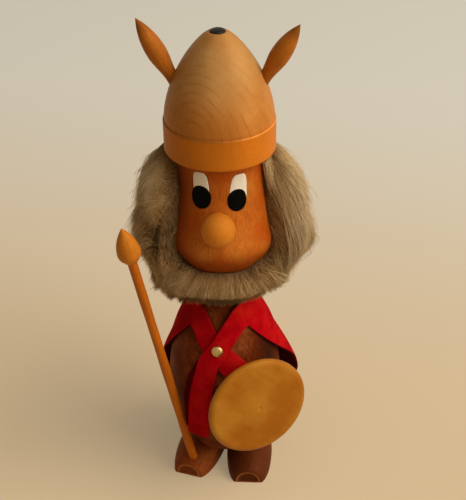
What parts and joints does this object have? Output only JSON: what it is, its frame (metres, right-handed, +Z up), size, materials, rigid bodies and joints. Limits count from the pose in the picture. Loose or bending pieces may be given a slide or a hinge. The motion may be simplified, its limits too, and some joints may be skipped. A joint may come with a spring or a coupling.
{
  "type": "wooden viking figure",
  "caption": "Standing turned-wood viking ornament with a horned helmet, fur hair and beard, crossed felt cape, spear and round shield; head and shield turn, the spear lifts out.",
  "frame": {"origin": "middle of the whole figure's footprint box, on the plane it stands on", "axes": "+Z up; the figure faces -Y; its own left side, with the shield, is +X"},
  "size_m": [0.0668, 0.0708, 0.1925],
  "materials": {
    "oiled_teak": "dark oiled wood, turned, satin",
    "red_teak": "red-brown oiled wood, turned, satin, with the eyes painted on it",
    "waxed_beech": "pale golden wood, turned, waxed",
    "birch_dowel": "bare dowel",
    "black_lacquer": "wooden plug in black gloss lacquer",
    "brass": "polished domed tack",
    "red_felt": "red wool felt, cut edges left raw",
    "grey_fur": "grey-brown long-haired fur strip"
  },
  "bodies": {
    "torso": {"body": "oiled_teak", "foot_left": "oiled_teak", "foot_right": "oiled_teak", "foot_dowel_left": "birch_dowel", "foot_dowel_right": "birch_dowel", "neck_dowel": "birch_dowel", "cape": "red_felt", "under_tail": "red_felt", "brass_tack": "brass", "shield_peg": "birch_dowel"},
    "head": {"head": "red_teak", "nose": "waxed_beech", "helmet": "waxed_beech", "helmet_dowel": "birch_dowel", "crown_plug": "black_lacquer", "horn_left": "waxed_beech", "horn_right": "waxed_beech", "beard": "grey_fur", "hair": "grey_fur"},
    "shield": {"shield": "waxed_beech"},
    "spear": {"spear_shaft": "waxed_beech", "spear_head": "waxed_beech"}
  },
  "joints": [
    {"name": "head_turn", "type": "hinge", "parent": "torso", "child": "head", "pos_m": [-0.00079, 0.00156, 0.0999], "axis": [0, 0, 1], "continuous": true},
    {"name": "shield_turn", "type": "hinge", "parent": "torso", "child": "shield", "pos_m": [0.01676, -0.02295, 0.04723], "axis": [0.5797, -0.8098, 0.0906], "continuous": true},
    {"name": "spear_lift", "type": "slide", "parent": "torso", "child": "spear", "axis": [-0.1412, -0.1503, 0.9785], "range_m": [0, 0.012]}
  ]
}
